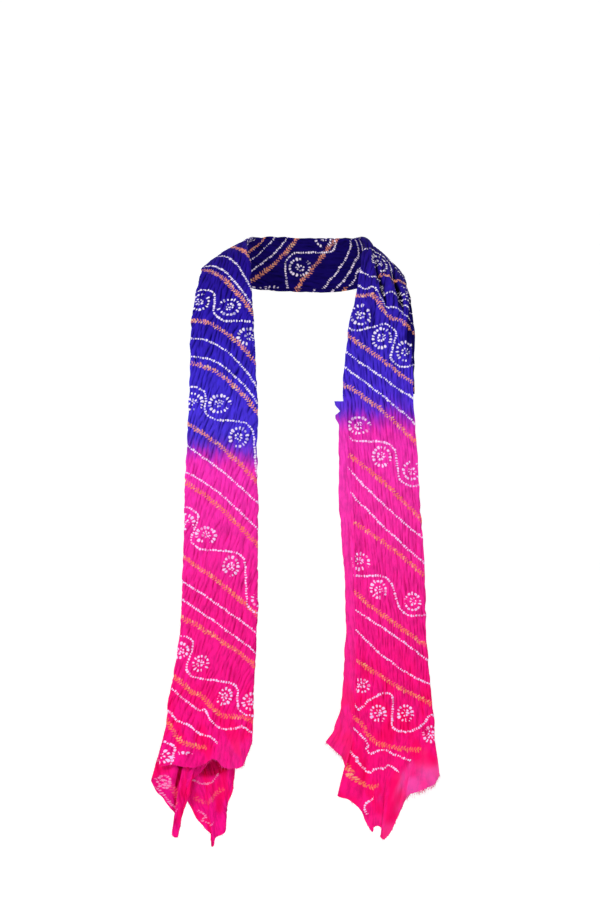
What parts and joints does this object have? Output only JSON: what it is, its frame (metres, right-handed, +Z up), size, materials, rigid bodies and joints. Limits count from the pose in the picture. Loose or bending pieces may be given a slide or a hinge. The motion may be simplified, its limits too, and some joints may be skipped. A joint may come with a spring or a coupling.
{
  "type": "dupatta stole",
  "caption": "Crinkled tie-dyed stole worn round the neck: a folded band behind the nape, a fall down each side of the chest and raw frayed ends.",
  "frame": {"origin": "middle of the inner face of the nape stretch, where it rests on the back of the wearer's collar", "axes": "+Z up; the wearer faces -Y; +X to the right of someone who looks at the front of the stole"},
  "size_m": [0.3611, 0.1988, 0.7798],
  "materials": {
    "blue_violet_cloth": "crinkled silk-like weave dyed blue-violet, with white and orange resist dots",
    "hot_pink_cloth": "crinkled silk-like weave dyed hot pink, with pale pink and orange resist dots"
  },
  "bodies": {
    "root": {"nape_stretch": "blue_violet_cloth", "pleat_right": "blue_violet_cloth", "fall_left": "hot_pink_cloth", "fall_right": "hot_pink_cloth", "selvedge_right": "hot_pink_cloth", "end_left_front": "hot_pink_cloth", "end_left_side": "hot_pink_cloth", "end_left_back": "hot_pink_cloth", "end_right_front": "hot_pink_cloth", "end_right_corner": "hot_pink_cloth", "end_right_back": "hot_pink_cloth"}
  },
  "joints": []
}
